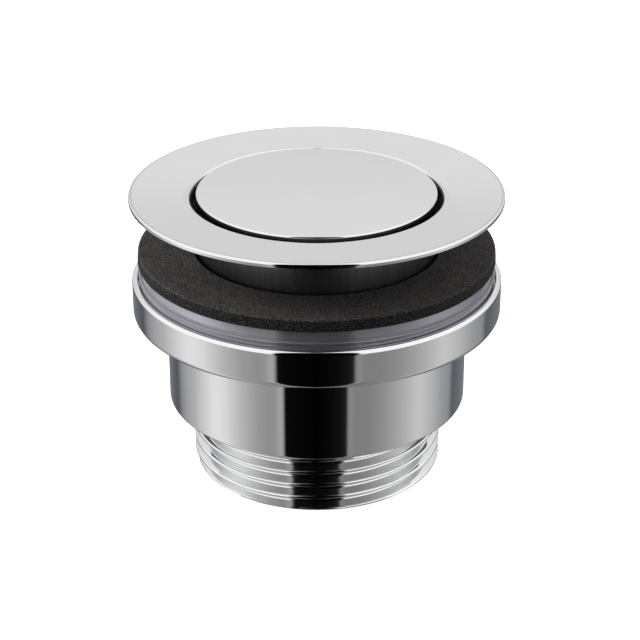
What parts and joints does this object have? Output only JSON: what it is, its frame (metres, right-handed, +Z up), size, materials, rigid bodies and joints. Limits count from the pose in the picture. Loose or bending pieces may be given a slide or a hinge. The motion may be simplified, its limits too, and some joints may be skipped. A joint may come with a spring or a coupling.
{
  "type": "pop up basin waste",
  "caption": "Push-operated basin waste: round flange and plug, foam gasket and clear washer over a polished lower body with a threaded tail for a trap.",
  "frame": {"origin": "centre of the tail's end face, on the surface that the part stands on", "axes": "+Z up along the axis, from the tail to the flange; the part is round, and +X is the side of one spoke"},
  "size_m": [0.061, 0.061, 0.0482],
  "materials": {
    "lower_chrome": "polished",
    "clear_plastic": "clear",
    "foam": "closed-cell, matte",
    "flange_chrome": "polished",
    "seal_rubber": "matte",
    "spider_plastic": "moulded",
    "barrel_brass": "turned",
    "bush_plastic": "moulded",
    "steel": "bright",
    "plug_chrome": "polished",
    "plunger_plastic": "moulded",
    "cam_plastic": "moulded"
  },
  "bodies": {
    "lower": {"lower_body": "lower_chrome"},
    "gaskets": {"friction_washer": "clear_plastic", "foam_gasket": "foam"},
    "upper": {"valve_flange": "flange_chrome", "flange_seal": "seal_rubber", "spider": "spider_plastic", "cartridge_barrel": "barrel_brass", "barrel_cap": "bush_plastic", "wiper_ring": "seal_rubber", "guide_pins": "steel", "barrel_lock_nut": "barrel_brass", "return_spring": "steel"},
    "plug": {"plug_cap": "plug_chrome", "seal_carrier": "bush_plastic", "plug_seal": "seal_rubber", "plug_stud": "steel", "stud_lock_nut": "steel", "plunger": "plunger_plastic", "sleeve_clip": "steel"},
    "cam": {"cam_sleeve": "cam_plastic"}
  },
  "joints": [
    {"name": "clamp_turn", "type": "hinge", "parent": "lower", "child": "gaskets", "pos_m": [0, 0, 0.0327], "axis": [0, 0, 1], "range_deg": [-702, 1440]},
    {"name": "clamp_travel", "type": "slide", "parent": "gaskets", "child": "upper", "axis": [0, 0, 1], "range_m": [-0.00391, 0.00801]},
    {"name": "plug_travel", "type": "slide", "parent": "upper", "child": "plug", "axis": [0, 0, 1], "range_m": [-0.001, 0.008], "deforming": ["return_spring"]},
    {"name": "cam_turn", "type": "hinge", "parent": "plug", "child": "cam", "pos_m": [0, 0, 0.0175], "axis": [0, 0, 1], "range_deg": [-7.9, 62.7]}
  ],
  "couplings": [
    {"joint": "clamp_travel", "follows": "clamp_turn", "m_per_rad": 0.00031831},
    {"joint": "cam_turn", "follows": "plug_travel", "rad_per_m": 136.59}
  ]
}
